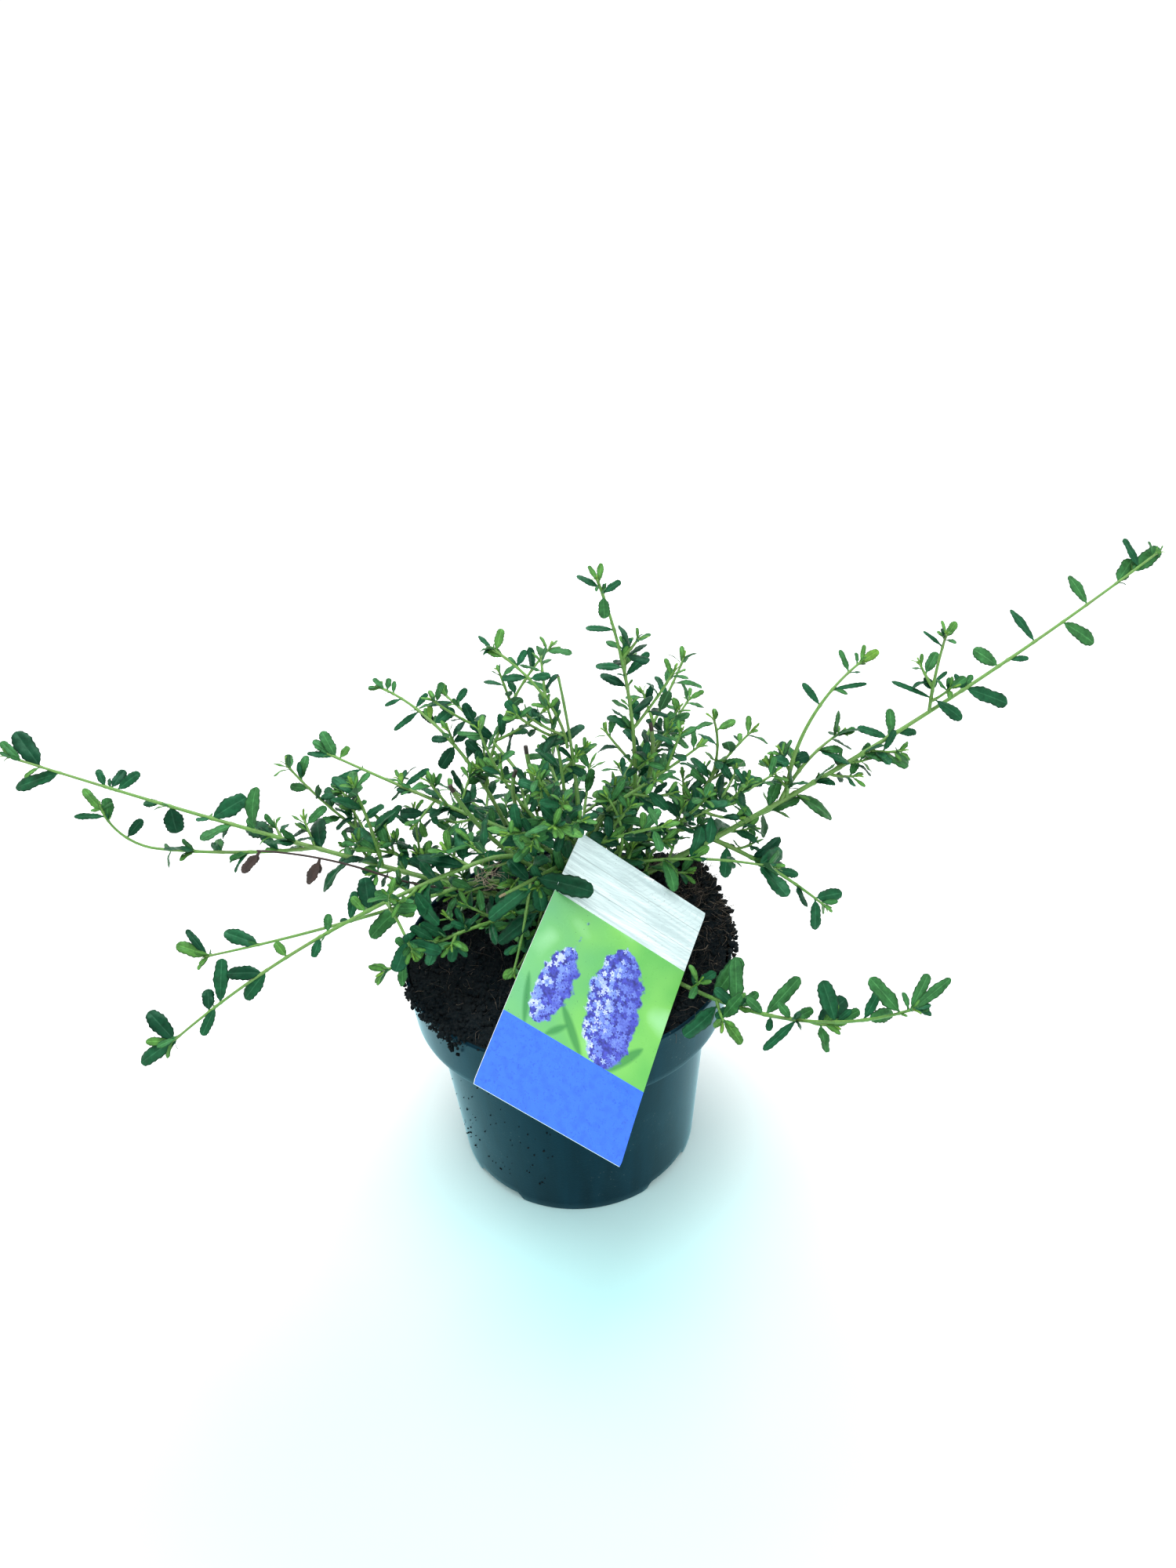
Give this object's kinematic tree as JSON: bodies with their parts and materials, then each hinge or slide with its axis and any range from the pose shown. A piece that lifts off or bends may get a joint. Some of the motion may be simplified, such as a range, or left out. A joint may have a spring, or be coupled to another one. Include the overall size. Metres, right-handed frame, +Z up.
{
  "type": "potted california lilac shrub",
  "caption": "Young evergreen shrub with small oval leaves on long arching shoots, standing in a round tapered nursery pot of soil with a leaning plastic plant label.",
  "frame": {"origin": "centre of the pot's flat underside", "axes": "+Z up; +X along the longest shoots, to the right seen from the front; -Y is the front, over whose rim the label leans"},
  "size_m": [0.6177, 0.3032, 0.3394],
  "materials": {
    "pot": "satin, dark blue-black",
    "soil": "rough dark peat",
    "label": "printed card, satin",
    "wood": "smooth bark",
    "stem": "green bark, smooth",
    "leaf": "glossy above, paler beneath",
    "dead": "dry, dull"
  },
  "bodies": {
    "root": {"bough_back_left": "stem", "bough_back_left_low": "stem", "bough_back_low": "stem", "bough_back_right_low": "stem", "bough_front_left": "stem", "bough_left_long": "stem", "bough_left_low_far": "stem", "bough_left_low_near": "stem", "bough_left_mid": "stem", "bough_middle_left": "stem", "bough_rear_left": "stem", "bough_rear_right_high": "stem", "bough_rear_right_low": "stem", "bough_right_long": "stem", "bough_right_low": "stem", "bough_right_mid": "stem", "bough_right_thin": "stem", "bough_right_upper": "stem", "bough_right_upright": "stem", "bough_tall": "stem", "bough_upper_left": "stem", "dead_twig": "dead", "leader": "wood", "leaves_back_left": "leaf", "leaves_back_left_low": "leaf", "leaves_back_low": "leaf", "leaves_back_right_low": "leaf", "leaves_front_hanging": "leaf", "leaves_front_left": "leaf", "leaves_front_up": "leaf", "leaves_inner_1": "leaf", "leaves_inner_2": "leaf", "leaves_inner_3": "leaf", "leaves_inner_4": "leaf", "leaves_inner_5": "leaf", "leaves_left_long": "leaf", "leaves_left_low_far": "leaf", "leaves_left_low_near": "leaf", "leaves_left_mid": "leaf", "leaves_middle": "leaf", "leaves_middle_left": "leaf", "leaves_rear_left": "leaf", "leaves_rear_right_high": "leaf", "leaves_rear_right_low": "leaf", "leaves_right_long": "leaf", "leaves_right_low": "leaf", "leaves_right_mid": "leaf", "leaves_right_thin": "leaf", "leaves_right_upper": "leaf", "leaves_right_upright": "leaf", "leaves_tall": "leaf", "leaves_top_left": "leaf", "leaves_upper_left": "leaf", "plant_label": "label", "pot": "pot", "root_ball": "soil"}
  },
  "joints": []
}
